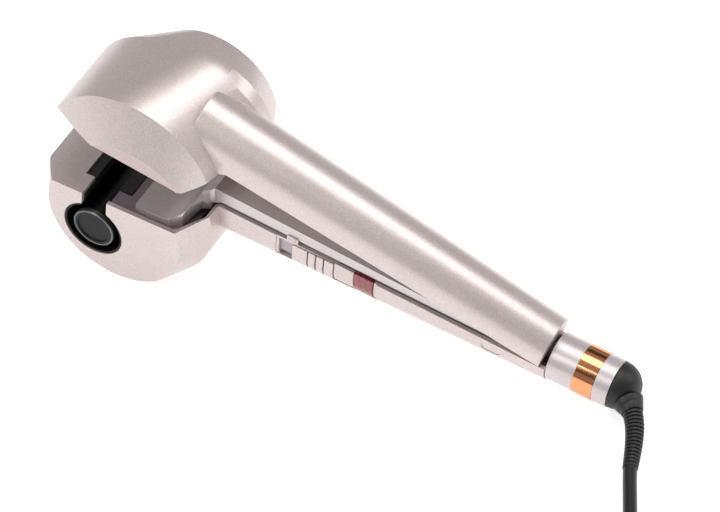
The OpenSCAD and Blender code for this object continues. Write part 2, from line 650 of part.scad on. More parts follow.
// The block that shuts the slot over the hair
module slot_closer() color(dark_grey) jaw() intersection() {
  box(-guide_w / 2 + 1 + 2 * fit_gap, guide_w / 2 + 1 - 2 * fit_gap, -guide_l / 2 + fit_gap * 2,
      guide_l / 2 - fit_gap * 2, -12, 4);
  across([[-20, parting(-20) - 1], [20, parting(20) - 1], [20, parting(20) + shut_gap],
          [-20, parting(-20) + shut_gap]]);
}
arm_w = 5;
arm_screw_xs = [189, 195];
module hinge_arm() color(dark_grey) jaw() difference() {
  union() {
    intersection() {
      across([[184, 9.5], [200, 4.6], [206, 9.5], [200, 24], [184, 24]], -arm_w, 1.1);
      upper_grip(wall + 0.02, lid_end + 1);
    }
    across([[184, 9.5], [200, 4.6], [hinge_x - 3, hinge_z - 2.6], [hinge_x, hinge_z + 4], [206, 9.5]],
           -arm_w, 1.1);
    ycyl(hinge_x, hinge_z, 4, -arm_w, 1.1, 48);
  }
  ycyl(hinge_x, hinge_z, pin_r + run_gap, -20, 20, 48);
  for (x = arm_screw_xs) translate([x, -2, 0]) {
    cylinder(r = 2, h = 11, $fn = 32);
    cylinder(r = 1, h = 17.5, $fn = 32);
  }
}
module arm_screws() color(steel) jaw() for (x = arm_screw_xs) translate([x, -2, 0]) {
  translate([0, 0, 9.6]) cylinder(r = 1.9, h = 1.4, $fn = 32);
  translate([0, 0, 11]) cylinder(r = 1, h = 6.4, $fn = 32);
}
magnet_x = 152;
magnet_z = cover_z(magnet_x) + shut_gap + 0.4;
module jaw_magnet() color(steel) jaw() translate([magnet_x, 0, magnet_z]) cylinder(r = 3, h = 3, $fn = 32);
module magnet_post() color(dark_grey) jaw() intersection() {
  translate([magnet_x, 0, magnet_z + 3]) cylinder(r = 3.6, h = 20, $fn = 32);
  upper_grip(wall + 0.02);
}

// ---- swivel boot, strain relief, lead and plug, drawn as they lie ----
boot_c = [boot_x, 0, boot_z];
outlet = [0.815, -0.55, -0.185] / norm([0.815, -0.55, -0.185]);
relief_end = [boot_x + 26, -38, 3.9];
function bend(t) = pow(1 - t, 3) * (boot_c + 8 * outlet) + 3 * t * pow(1 - t, 2) * (boot_c + 22 * outlet)
  + 3 * t * t * (1 - t) * (relief_end + [-4.5, 12.1, 1.3]) + pow(t, 3) * relief_end;
// A round tube along a path, with a radius at every point of it
module tube(path, radii, n) {
  last = len(path) - 1;
  polyhedron(
    points = [for (i = [0 : last]) let (
        t = path[min(i + 1, last)] - path[max(i - 1, 0)], s = cross(t, [0, 0, 1]) / norm(cross(t, [0, 0, 1])),
        u = cross(s, t) / norm(t))
      for (k = [0 : n - 1]) path[i] + radii[i] * (cos(360 * k / n) * s + sin(360 * k / n) * u)],
    faces = concat([[for (k = [n - 1 : -1 : 0]) k]], [[for (k = [0 : n - 1]) last * n + k]],
      [for (i = [0 : last - 1], k = [0 : n - 1]) [i * n + k, i * n + (k + 1) % n, (i + 1) * n + (k + 1) % n]],
      [for (i = [0 : last - 1], k = [0 : n - 1]) [i * n + k, (i + 1) * n + (k + 1) % n, (i + 1) * n + k]]));
}
module swivel_boot() color(black_nylon) difference() {
  rest() {
    translate([device_l + 0.4, 0, tail_z]) rotate([0, 90, 0]) rotate_extrude()
      polygon(concat([[0, 0]], [for (a = [0 : 6 : 90]) boot_r * [cos(a), sin(a)]]));
    xcyl(device_l - 6, device_l + 1, boot_neck);
    xcyl(device_l - 6.2, device_l - 2.4, boot_neck + 1.6);
  }
  translate(boot_c) rotate([0, acos(outlet[2]), atan2(outlet[1], outlet[0])])
    translate([0, 0, 7.6]) cylinder(r = 5.8, h = 12, $fn = 48);
}
ribs = 15;
module strain_relief() color(black_nylon) {
  ts = concat([0.002, 0.16], [for (k = [0 : ribs - 1], p = [0.12, 0.2, 0.62, 0.7]) 0.18 + 0.8 * (k + p) / ribs], [0.999]);
  tube([for (t = ts) bend(t)],
    concat([4.9, 4.9], [for (k = [0 : ribs - 1], p = [-0.75, 0, 0, -0.75]) 4.9 + p - 1.2 * k / ribs], [3.55]), 16);
}
// The lead bends along the floor into line with the handle, to a round coil of three layers.
// Its last half turn lies on the coil, and the plug with it.
turn_out = coil_r + 20;                // radius of the outer turn of the coil
coil_c = [boot_x + 129.2, -13 - turn_out];
coil_top = 3 * (cord_d + 0.05) + 0.05;
sweep = [boot_x + 92, coil_c[1] - turn_out + 58];   // middle of the wide bend before the coil
lead_in = concat([relief_end, [boot_x + 29, -44, 3.5], [boot_x + 33, -51.5, 3.3], [boot_x + 37.5, -60, 3.3]],
  [for (k = [0 : 8]) let (a = -152.1 + 62.1 * k / 8) [sweep[0] + 58 * cos(a), sweep[1] + 58 * sin(a), 3.3]],
  [for (x = [102, 112, 121]) [boot_x + x, coil_c[1] - turn_out, 3.3]]);
top_r = 26.4;                          // radius of the half turn on top
plug_z = coil_top + 6.95;
function ease(t) = let (u = max(0, min(1, t))) u * u * (3 - 2 * u);
lead_out = concat([for (d = [-40 : 10 : 170]) let (a = 90 + d) [coil_c[0] + top_r * cos(a), coil_c[1] + top_r * sin(a),
    16.6 + 6.65 * ease((d + 50) / 100) + (plug_z - 23.25) * ease((d - 110) / 75)]],
  [for (x = [0, 6]) [coil_c[0] + x, coil_c[1] - top_r, plug_z]]);
module cord_tube() color(black_nylon) tube(lead_in, [for (p = lead_in) cord_d / 2], 10);
module cord_coil() color(black_nylon) translate([coil_c[0], coil_c[1], 0]) rotate_extrude()
  polygon([[coil_r, 1.5], [coil_r + 1.5, 0], [turn_out + 2.3, 0], [turn_out + 3.8, 1.5],
           [turn_out + 3.8, coil_top - 1.5], [turn_out + 2.3, coil_top],
           [coil_r + 1.5, coil_top], [coil_r, coil_top - 1.5]]);
module plug_lead() color(black_nylon) tube(lead_out, [for (p = lead_out) cord_d / 2], 10);
plug_end = coil_c[0] + 6;
module plug_body() color(black_nylon) hull() {
  for (s = [-1, 1]) translate([plug_end + 18, coil_c[1] - top_r + s * 10.8, plug_z]) rotate([0, 90, 0])
    cylinder(r = 6.85, h = 17, $fn = 32);
  translate([plug_end + 0.02, coil_c[1] - top_r, plug_z]) rotate([0, 90, 0]) cylinder(r = 4.6, h = 3.98, $fn = 32);
}
module plug_pins() color(steel) for (s = [-1, 1])
  translate([plug_end + 35, coil_c[1] - top_r + s * plug_pitch / 2, plug_z])
    rotate([0, 90, 0]) cylinder(r = 2, h = plug_pin_l, $fn = 48);

lower_shell();
side_plug();
recess_floor();
slot_guide();
front_liner();
rear_liner();
barrel();
barrel_cap();
barrel_ring();
heater_core();
heater_clips();
barrel_screws();
thermal_fuse();
rotor_ring();
hair_hook();
idler_a_gear();
idler_b_gear();
drive_gear();
motor_shaft();
idler_pins();
near_plate();
far_plate();
motor();
motor_screws();
inner_cover();
mark_plate();
main_board();
hall_sensor();
buzzer();
power_board();
supply_leads();
case_screws();
slide_knob();
switch_bezel();
slide_switch();
indicator_lens();
indicator_led();
tail_near();
tail_far();
tail_ring();
hinge_pin();
hinge_spring();
upper_shell();
upper_liner();
slot_closer();
hinge_arm();
jaw_magnet();
magnet_post();
arm_screws();
swivel_boot();
strain_relief();
cord_tube();
cord_coil();
plug_lead();
plug_body();
plug_pins();
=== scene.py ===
import bpy, bmesh, json, math
from mathutils import Matrix, Vector


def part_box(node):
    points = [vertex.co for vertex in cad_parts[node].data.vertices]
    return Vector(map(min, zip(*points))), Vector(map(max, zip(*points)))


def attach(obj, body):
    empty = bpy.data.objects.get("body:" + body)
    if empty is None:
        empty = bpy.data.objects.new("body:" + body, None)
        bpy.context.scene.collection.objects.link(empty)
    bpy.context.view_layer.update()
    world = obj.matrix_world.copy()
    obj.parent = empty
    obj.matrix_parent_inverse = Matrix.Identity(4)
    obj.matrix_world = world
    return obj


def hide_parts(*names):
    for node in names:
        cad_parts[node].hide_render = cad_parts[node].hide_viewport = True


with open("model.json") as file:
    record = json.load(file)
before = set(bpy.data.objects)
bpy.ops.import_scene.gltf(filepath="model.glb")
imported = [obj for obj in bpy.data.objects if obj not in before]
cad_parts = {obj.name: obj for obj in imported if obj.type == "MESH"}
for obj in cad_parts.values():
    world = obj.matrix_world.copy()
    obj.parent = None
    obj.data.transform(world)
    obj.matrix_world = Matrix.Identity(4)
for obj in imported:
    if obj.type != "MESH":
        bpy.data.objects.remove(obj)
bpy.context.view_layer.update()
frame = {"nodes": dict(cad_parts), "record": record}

scene = bpy.context.scene
scene.view_settings.view_transform = "Standard"
nodes = frame["nodes"]
mm = 0.001

# Camera
cameraSet = {"place": (0.95889, -1.41666, 1.81368), "turn": (43.70, 4.0993, 29.6745), "lens": 262.06}
camData = bpy.data.cameras.new("camera")
camData.lens = cameraSet["lens"]
camData.sensor_width = 36
camData.clip_end = 20
cam = bpy.data.objects.new("camera", camData)
cam.location = cameraSet["place"]
cam.rotation_euler = [math.radians(a) for a in cameraSet["turn"]]
scene.collection.objects.link(cam)
scene.camera = cam
print("camera set")


# Shared helpers
# sRGB hex to the linear colour that nodes take
def linearOf(hexCode):
    parts = [int(hexCode[k:k + 2], 16) / 255 for k in (1, 3, 5)]
    return [c / 12.92 if c <= 0.04045 else ((c + 0.055) / 1.055) ** 2.4 for c in parts] + [1.0]


def addNode(mat, kind, settings=None, links=None):
    node = mat.node_tree.nodes.new(kind)
    for key, value in (settings or {}).items():
        if isinstance(key, int) or key in node.inputs:
            node.inputs[key].default_value = value
        else:
            setattr(node, key, value)
    for key, socket in (links or {}).items():
        mat.node_tree.links.new(socket, node.inputs[key])
    return node


def addPiece(name, bm, material, body, smooth=35):
    mesh = bpy.data.meshes.new(name)
    bm.to_mesh(mesh)
    bm.free()
    for poly in mesh.polygons:
        poly.use_smooth = True
    mesh.set_sharp_from_angle(angle=math.radians(smooth))
    mesh.materials.append(material)
    obj = bpy.data.objects.new(name, mesh)
    scene.collection.objects.link(obj)
    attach(obj, body)
    return obj


# Finishes
# grain is the size in mm of the paint's or mould's texture, spark how far its colour strays
finishes = {
    # satin pearl paint on ABS: mica flakes a few hundredths of a mm across, drawn 0.3 mm so they show
    "shell_satin": {
        "real": "pearlPaintOnAbs", "hex": "#cbbdba", "low": "#a79997", "high": "#eee6e2",
        "grain": 0.3, "spark": 0.3, "rough": 0.36, "metal": 0.5, "coat": 0.15, "bump": 0.006,
    },
    # the same paint in a deeper rose; the deeper tone is painted shade, for the liner band that faces away
    # from the light
    "liner_satin": {
        "real": "rosePearlPaintWithPaintedShade", "hex": "#b9a6a5", "low": "#968483", "high": "#dccdca",
        "grain": 0.3, "spark": 0.3, "rough": 0.4, "metal": 0.45, "coat": 0.12, "bump": 0.006,
    },
    # silver paint with a mauve cast over ABS, smoother than the shells
    "silver_satin": {
        "real": "silverPaintOnAbs", "hex": "#c9bfbf", "low": "#b5abab", "high": "#ddd5d5",
        "grain": 0.2, "spark": 0.14, "rough": 0.32, "metal": 0.4, "coat": 0.2, "bump": 0.0015,
    },
    # matt mauve grey, much darker than the shells
    "recess_matt": {
        "real": "darkMattMauve", "hex": "#7a6a70", "low": "#6b5c62", "high": "#84747a",
        "grain": 0.4, "spark": 0.5, "rough": 0.6, "metal": 0.1, "coat": 0.0, "bump": 0.02,
    },
    # thin satin paint, between the shells and the recess in tone
    "bezel_satin": {
        "real": "satinPaintOnAbs", "hex": "#ab9fa5", "low": "#978b91", "high": "#bdb2b7",
        "grain": 0.4, "spark": 0.4, "rough": 0.45, "metal": 0.3, "coat": 0.1, "bump": 0.01,
    },
    # glass-filled nylon: dark, slightly chalky, fine fibres at the skin
    "guide_nylon": {
        "real": "glassFilledNylon", "hex": "#1c1b1c", "low": "#151415", "high": "#262526",
        "grain": 0.5, "spark": 0.6, "rough": 0.5, "metal": 0.0, "coat": 0.0, "bump": 0.02,
    },
    # black heat-resistant nylon, dull because its skin is full of fibre
    "chamber_nylon": {
        "real": "blackHeatResistantNylon", "hex": "#0d0d0e", "low": "#080809", "high": "#151516",
        "grain": 0.6, "spark": 0.6, "rough": 0.42, "metal": 0.0, "coat": 0.1, "bump": 0.02, "gloss": 0.15,
    },
    # sprayed ceramic coat on an aluminium tube
    "barrel_ceramic": {
        "real": "sprayedCeramic", "hex": "#0b0b0c", "low": "#070708", "high": "#121214",
        "grain": 0.3, "spark": 0.4, "rough": 0.38, "metal": 0.0, "coat": 0.12, "bump": 0.006, "gloss": 0.3,
    },
    # turned aluminium, greyed by anodising
    "barrel_ring_grey": {
        "real": "turnedAluminiumRing", "hex": "#6a6c6e", "low": "#5c5e60", "high": "#797b7d",
        "grain": 0.2, "spark": 0.4, "rough": 0.35, "metal": 0.8, "coat": 0.0, "bump": 0.004,
    },
    # fired alumina, chalky and off-white
    "heater_ceramic": {
        "real": "aluminaCeramic", "hex": "#ddd7c9", "low": "#cfc8b8", "high": "#e8e3d8",
        "grain": 0.3, "spark": 0.5, "rough": 0.7, "metal": 0.0, "coat": 0.0, "bump": 0.02,
    },
    # zinc-plated steel screws and clips
    "steel_bright": {
        "real": "zincPlatedSteel", "hex": "#c0c2c4", "low": "#aeb0b3", "high": "#d2d3d5",
        "grain": 0.25, "spark": 0.4, "rough": 0.28, "metal": 1.0, "coat": 0.0, "bump": 0.004,
    },
    # moulded acetal, waxy and milky
    "gear_acetal": {
        "real": "acetal", "hex": "#ece8dc", "low": "#e2ddcf", "high": "#f4f1e8",
        "grain": 0.5, "spark": 0.4, "rough": 0.38, "metal": 0.0, "coat": 0.0, "bump": 0.006,
    },
    # rolled and punched sheet, evenly dull
    "plate_aluminium": {
        "real": "rolledAluminium", "hex": "#a9abad", "low": "#999b9e", "high": "#b9bbbd",
        "grain": 0.3, "spark": 0.4, "rough": 0.38, "metal": 1.0, "coat": 0.0, "bump": 0.005,
    },
    # drawn steel, plated, softly bright
    "motor_can": {
        "real": "drawnSteelCan", "hex": "#a6a8ab", "low": "#95979a", "high": "#b8babc",
        "grain": 0.6, "spark": 0.5, "rough": 0.34, "metal": 1.0, "coat": 0.0, "bump": 0.004,
    },
    # green solder resist over glass-epoxy board
    "board_green": {
        "real": "solderResist", "hex": "#2e6a3e", "low": "#245833", "high": "#3a7c4b",
        "grain": 0.8, "spark": 0.5, "rough": 0.4, "metal": 0.0, "coat": 0.2, "bump": 0.01,
    },
    # moulded black ABS
    "black_parts": {
        "real": "blackAbs", "hex": "#1b1b1c", "low": "#141415", "high": "#262627",
        "grain": 0.3, "spark": 0.5, "rough": 0.5, "metal": 0.0, "coat": 0.0, "bump": 0.01,
    },
    # brown heat-proof sleeving
    "lead_sheath": {
        "real": "siliconeSheath", "hex": "#7a4432", "low": "#6a3929", "high": "#8a503c",
        "grain": 0.5, "spark": 0.4, "rough": 0.55, "metal": 0.0, "coat": 0.0, "bump": 0.01,
    },
    # clear epoxy of a lamp, glassy
    "led_clear": {
        "real": "clearEpoxy", "hex": "#dddddd", "low": "#cfcfcf", "high": "#ebebeb",
        "grain": 0.5, "spark": 0.3, "rough": 0.15, "metal": 0.0, "coat": 0.5, "bump": 0.0,
    },
    # dark grey nylon
    "arm_nylon": {
        "real": "greyNylon", "hex": "#3d3c3e", "low": "#323133", "high": "#48474a",
        "grain": 0.5, "spark": 0.5, "rough": 0.5, "metal": 0.0, "coat": 0.0, "bump": 0.015,
    },
    # soft PVC, moulded matt
    "boot_rubber": {
        "real": "softPvc", "hex": "#131413", "low": "#0d0e0d", "high": "#1b1c1b",
        "grain": 0.5, "spark": 0.5, "rough": 0.5, "metal": 0.0, "coat": 0.0, "bump": 0.012,
    },
    # extruded PVC sheath, a little shinier than the boot
    "cord_pvc": {
        "real": "extrudedPvc", "hex": "#111111", "low": "#0c0c0c", "high": "#191919",
        "grain": 0.5, "spark": 0.4, "rough": 0.45, "metal": 0.0, "coat": 0.0, "bump": 0.01,
    },
    # bright nickel plate on brass
    "pin_nickel": {
        "real": "nickelPlate", "hex": "#d0cdc6", "low": "#c4c1b9", "high": "#dcd9d3",
        "grain": 0.2, "spark": 0.3, "rough": 0.18, "metal": 1.0, "coat": 0.0, "bump": 0.0,
    },
}


def makeFinish(look):
    mat = bpy.data.materials.new(look["real"])
    mat.use_nodes = True
    bsdf = mat.node_tree.nodes["Principled BSDF"]
    bsdf.inputs["Metallic"].default_value = look["metal"]
    bsdf.inputs["Coat Weight"].default_value = look["coat"]
    bsdf.inputs["Coat Roughness"].default_value = 0.3
    bsdf.inputs["Specular IOR Level"].default_value = look.get("gloss", 0.5)
    coords = addNode(mat, "ShaderNodeTexCoord").outputs["Object"]
    flakes = addNode(mat, "ShaderNodeTexVoronoi", {"Scale": 1 / (look["grain"] * mm)}, {"Vector": coords})
    drift = addNode(mat, "ShaderNodeTexNoise", {"Scale": 30.0, "Detail": 3.0}, {"Vector": coords})
    gray = addNode(mat, "ShaderNodeSeparateColor", {}, {"Color": flakes.outputs["Color"]})
    level = addNode(mat, "ShaderNodeMath", {"operation": "MULTIPLY_ADD", 1: look["spark"]},
                    {0: gray.outputs["Red"]})
    level.inputs[2].default_value = 0.5 - look["spark"] / 2
    both = addNode(mat, "ShaderNodeMath", {"operation": "MULTIPLY_ADD", 1: 0.12},
                   {0: drift.outputs["Fac"], 2: level.outputs[0]})
    ramp = addNode(mat, "ShaderNodeValToRGB", {}, {"Fac": both.outputs[0]})
    ramp.color_ramp.elements[0].color = linearOf(look["low"])
    ramp.color_ramp.elements[1].color = linearOf(look["high"])
    middle = ramp.color_ramp.elements.new(0.55)
    middle.color = linearOf(look["hex"])
    mat.node_tree.links.new(ramp.outputs["Color"], bsdf.inputs["Base Color"])
    rough = addNode(mat, "ShaderNodeMath", {"operation": "MULTIPLY_ADD", 1: 0.1, 2: look["rough"] - 0.05},
                    {0: gray.outputs["Green"]})
    mat.node_tree.links.new(rough.outputs[0], bsdf.inputs["Roughness"])
    if look["bump"] > 0:
        bump = addNode(mat, "ShaderNodeBump", {"Strength": 0.35, "Distance": look["bump"] * mm},
                       {"Height": gray.outputs["Blue"]})
        mat.node_tree.links.new(bump.outputs["Normal"], bsdf.inputs["Normal"])
    return mat


materials = {slotName: makeFinish(look) for slotName, look in finishes.items()}

# polished copper plating: mirror-like, warm, with faint polishing haze
copper = bpy.data.materials.new("copperPlating")
copper.use_nodes = True
cb = copper.node_tree.nodes["Principled BSDF"]
cb.inputs["Metallic"].default_value = 1.0
cCoords = addNode(copper, "ShaderNodeTexCoord").outputs["Object"]
haze = addNode(copper, "ShaderNodeTexNoise", {"Scale": 900.0, "Detail": 4.0}, {"Vector": cCoords})
hazeRough = addNode(copper, "ShaderNodeMath", {"operation": "MULTIPLY_ADD", 1: 0.06, 2: 0.07},
                    {0: haze.outputs["Fac"]})
copper.node_tree.links.new(hazeRough.outputs[0], cb.inputs["Roughness"])
hazeRamp = addNode(copper, "ShaderNodeValToRGB", {}, {"Fac": haze.outputs["Fac"]})
hazeRamp.color_ramp.elements[0].color = linearOf("#d4895a")
hazeRamp.color_ramp.elements[1].color = linearOf("#e6a177")
copper.node_tree.links.new(hazeRamp.outputs["Color"], cb.inputs["Base Color"])
materials["ring_copper"] = copper

# translucent red polycarbonate with fine light-spreading ribs moulded inside
lens = bpy.data.materials.new("redPolycarbonate")
lens.use_nodes = True
lb = lens.node_tree.nodes["Principled BSDF"]
lb.inputs["Transmission Weight"].default_value = 0.12
lb.inputs["IOR"].default_value = 1.58
lb.inputs["Roughness"].default_value = 0.12
lb.inputs["Coat Weight"].default_value = 0.5
lCoords = addNode(lens, "ShaderNodeTexCoord").outputs["Object"]
ribs = addNode(lens, "ShaderNodeTexWave", {"Scale": 100.0, "Distortion": 0.2, "bands_direction": "X"},
               {"Vector": lCoords})
ribRamp = addNode(lens, "ShaderNodeValToRGB", {}, {"Fac": ribs.outputs["Fac"]})
ribRamp.color_ramp.elements[0].color = linearOf("#6e0c16")
ribRamp.color_ramp.elements[1].color = linearOf("#9c1622")
lens.node_tree.links.new(ribRamp.outputs["Color"], lb.inputs["Base Color"])
materials["lens_red"] = lens

# pad-printed marks in a warm copper ink
ink = makeFinish({
    "real": "printedInk", "hex": "#c58f6e", "low": "#b98462", "high": "#d29c7b",
    "grain": 0.2, "spark": 0.3, "rough": 0.5, "metal": 0.0, "coat": 0.0, "bump": 0.0,
})
print("finishes made", len(materials))

slotOf = {s["node"]: s["material_slot"] for s in frame["record"]["subparts"]}
bodyOf = {n: b for b, group in frame["record"]["behaviour"]["bodies"].items() for n in group}
for name, obj in nodes.items():
    obj.data.materials.clear()
    obj.data.materials.append(materials[slotOf[name]])


# Angles in degrees, cleaning distances in mm
softSet = {"fromAngle": 15, "segments": 3, "smooth": 18, "weld": 0.004, "speck": 0.002, "flat": 0.4}


# A copy of a CAD piece with its sharp edges rounded over by width mm
def softCopy(node, name, width):
    bm = bmesh.new()
    bm.from_mesh(nodes[node].data)
    bmesh.ops.remove_doubles(bm, verts=bm.verts, dist=softSet["weld"] * mm)
    bmesh.ops.dissolve_degenerate(bm, dist=softSet["speck"] * mm, edges=bm.edges)
    flat = math.radians(softSet["flat"])
    bmesh.ops.dissolve_limit(bm, angle_limit=flat, verts=bm.verts, edges=bm.edges)
    limit = math.radians(softSet["fromAngle"])
    sharp = [e for e in bm.edges if len(e.link_faces) == 2 and e.calc_face_angle() > limit]
    bmesh.ops.bevel(bm, geom=sharp, affect="EDGES", offset=width * mm, segments=softSet["segments"],
                    profile=0.5, material=-1, clamp_overlap=True)
    piece = addPiece(name, bm, materials[slotOf[node]], bodyOf[node], softSet["smooth"])
    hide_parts(node)
    weighted = piece.modifiers.new("evenShade", "WEIGHTED_NORMAL")
    weighted.keep_sharp = True
    return piece


softEdges = {
    "lower_shell": 0.5, "upper_shell": 0.5, "inner_cover": 1.1, "upper_liner": 0.25, "recess_floor": 0.2,
    "slot_guide": 0.25, "slot_closer": 0.3, "slide_knob": 0.15, "indicator_lens": 0.15, "mark_plate": 0.12,
    "tail_near": 0.12, "tail_far": 0.12, "tail_ring": 0.08, "barrel_cap": 0.25, "barrel_ring": 0.1,
    "front_liner": 0.2, "switch_bezel": 0.15, "side_plug": 0.12, "swivel_boot": 0.25, "plug_body": 0.6,
    "plug_pins": 0.4,
}
for node, width in softEdges.items():
    softCopy(node, node + "Soft", width)
print("edges softened")

# End wall of the handle, on the upper jaw, where the shell would look hollow past the hinge
# Places are in mm along and above the handle's own axis, which tips down to the tail
endSet = {"along": 227.9, "above": 6.2, "radius": 12.6, "thick": 1.6, "cut": 3.6, "jawTip": 8.8}
handleTip = math.radians(8.961644)
handleStart = (-0.1191145, 0, 0.0537109)
handleSpace = Matrix.Translation(handleStart) @ Matrix.Rotation(handleTip, 4, "Y")
bm = bmesh.new()
bmesh.ops.create_cone(bm, cap_ends=True, segments=64, radius1=endSet["radius"] * mm,
                      radius2=endSet["radius"] * mm, depth=endSet["thick"] * mm,
                      matrix=Matrix.Rotation(math.radians(90), 4, "Y"))
bmesh.ops.bisect_plane(bm, geom=bm.verts[:] + bm.edges[:] + bm.faces[:],
                       plane_co=(0, 0, (endSet["cut"] - endSet["above"]) * mm),
                       plane_no=(0, 0, -1), clear_outer=True)
bmesh.ops.holes_fill(bm, edges=[e for e in bm.edges if e.is_boundary])
bmesh.ops.recalc_face_normals(bm, faces=bm.faces[:])
bm.transform(handleSpace @ Matrix.Translation((endSet["along"] * mm, 0, endSet["above"] * mm))
             @ Matrix.Rotation(math.radians(endSet["jawTip"]), 4, "Y"))
addPiece("handleEndWall", bm, materials["shell_satin"], "upper_jaw")

# Cord
# Sizes in mm, turns in degrees. A climb is where the lead starts to rise a layer and how long it takes
bootX = 0.14093
cordSet = {
    "radius": 3.3, "pitch": 6.6, "layer": 6.65, "outer": 42, "lap": 900, "soften": 40,
    "climbs": ((850, 100), (1760, 80), (2650, 100)), "lastClimb": (2810, 75),
    "stepTurn": 12, "wound": 2880, "centre": (129.2, -55), "top": 26.4, "plugZ": 26.95, "intoPlug": 5.5,
}
bendSet = {"x": 92, "radius": 58, "from": -152.1, "by": 62.1, "steps": 8}


# radius of the coil in mm, going in, out and in again as the lead runs round it
def coilRadius(turned):
    span = cordSet["lap"]
    if turned > 3 * span:
        return cordSet["top"]
    lap = int(min(2, turned // span))
    inward = turned - lap * span if lap != 1 else 2 * span - turned
    reach = cordSet["pitch"] / 360
    radius = cordSet["outer"] - reach * inward
    for corner, sign in ((span, 1), (2 * span, -1), (3 * span, 1)):
        away = abs(turned - corner)
        radius += sign * reach * (math.hypot(away, cordSet["soften"]) - away)
    return radius


def ease(t):
    u = max(0, min(1, t))
    return u * u * (3 - 2 * u)


def coilHeight(turned):
    layers = sum(ease((turned - start) / over) for start, over in cordSet["climbs"])
    start, over = cordSet["lastClimb"]
    lastRise = cordSet["plugZ"] - (cordSet["radius"] + 3 * cordSet["layer"])
    return cordSet["radius"] + cordSet["layer"] * layers + lastRise * ease((turned - start) / over)


coilX, coilY = cordSet["centre"]
outerY = coilY - cordSet["outer"]
leadIn = [(26, -38, 3.9), (29, -44, 3.5), (33, -51.5, 3.3), (37.5, -60, 3.3)]
for k in range(bendSet["steps"] + 1):
    a = math.radians(bendSet["from"] + bendSet["by"] * k / bendSet["steps"])
    along = bendSet["x"] + bendSet["radius"] * math.cos(a)
    across = outerY + bendSet["radius"] + bendSet["radius"] * math.sin(a)
    leadIn.append((along, across, cordSet["radius"]))
leadIn += [(x, outerY, cordSet["radius"]) for x in (102, 112, 121)]
for turned in range(0, cordSet["wound"] + 1, cordSet["stepTurn"]):
    a = math.radians(turned - 90)
    r = coilRadius(turned)
    leadIn.append((coilX + r * math.cos(a), coilY + r * math.sin(a), coilHeight(turned)))
leadIn.append((coilX + cordSet["intoPlug"], coilY - cordSet["top"], cordSet["plugZ"]))
route = [(bootX + x * mm, y * mm, z * mm) for x, y, z in leadIn]
curve = bpy.data.curves.new("powerCord", "CURVE")
curve.dimensions = "3D"
curve.bevel_depth = cordSet["radius"] * mm
curve.bevel_resolution = 4
curve.use_fill_caps = True
line = curve.splines.new("POLY")
line.points.add(len(route) - 1)
for point, place in zip(line.points, route):
    point.co = (*place, 1)
line.use_smooth = True
curve.materials.append(materials["cord_pvc"])
cord = bpy.data.objects.new("powerCord", curve)
scene.collection.objects.link(cord)
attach(cord, "swivel")
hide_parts("cord_tube", "cord_coil", "plug_lead")

# Strain relief
# Ribs on a tapered core, with a spine down each side that the ribs branch from
reliefSet = {
    "ribs": 17, "first": 0.2, "last": 0.965, "wide": 4.9, "narrow": 3.75, "thick": 1.45,
    "core": (3.6, 3.35), "spine": (1.25, 0.95), "spineOut": 3.6, "taper": 0.28, "steps": 24,
}
outlet = Vector((0.815, -0.55, -0.185)).normalized() * mm
bootPoint = Vector((bootX, 0, 0.011791))
reliefEnd = Vector(route[0])
arc = [bootPoint + 8 * outlet, bootPoint + 22 * outlet, reliefEnd + Vector((-4.5, 12.1, 1.3)) * mm, reliefEnd]


def onArc(t):
    u = 1 - t
    return u ** 3 * arc[0] + 3 * t * u * u * arc[1] + 3 * t * t * u * arc[2] + t ** 3 * arc[3]


def arcFrame(t):
    along = (onArc(min(1, t + 0.01)) - onArc(max(0, t - 0.01))).normalized()
    side = along.cross(Vector((0, 0, 1))).normalized()
    return Matrix((side, along.cross(side), along)).transposed().to_4x4()


bm = bmesh.new()
for k in range(reliefSet["ribs"]):
    share = k / (reliefSet["ribs"] - 1)
    t = reliefSet["first"] + (reliefSet["last"] - reliefSet["first"]) * share
    r = (reliefSet["wide"] + (reliefSet["narrow"] - reliefSet["wide"]) * share) * mm
    place = Matrix.Translation(onArc(t)) @ arcFrame(t)
    made = bmesh.ops.create_cone(bm, cap_ends=True, segments=28, radius1=r, radius2=r * 0.98,
                                 depth=reliefSet["thick"] * mm, matrix=place)
    rim = {e for v in made["verts"] for e in v.link_edges if e.calc_face_angle(0) > 0.6}
    bmesh.ops.bevel(bm, geom=list(rim), affect="EDGES", offset=0.3 * mm, segments=2, profile=0.5, material=-1)
ribs = addPiece("reliefRibs", bm, materials["boot_rubber"], "swivel")
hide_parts("strain_relief")

# Collar where the boot narrows to the relief, in two steps: place on the arc, two radii and a depth
collarSet = {"steps": ((0.17, 6.3, 5.2, 4.2), (0.1, 7.4, 6.3, 3.2)), "round": 0.4}
bm = bmesh.new()
for t, r1, r2, depth in collarSet["steps"]:
    bmesh.ops.create_cone(bm, cap_ends=True, segments=48, radius1=r1 * mm, radius2=r2 * mm, depth=depth * mm,
                          matrix=Matrix.Translation(onArc(t)) @ arcFrame(t))
rims = [e for e in bm.edges if e.calc_face_angle(0) > 0.6]
bmesh.ops.bevel(bm, geom=rims, affect="EDGES", offset=collarSet["round"] * mm, segments=3,
                profile=0.5, material=-1)
addPiece("bootCollar", bm, materials["boot_rubber"], "swivel")


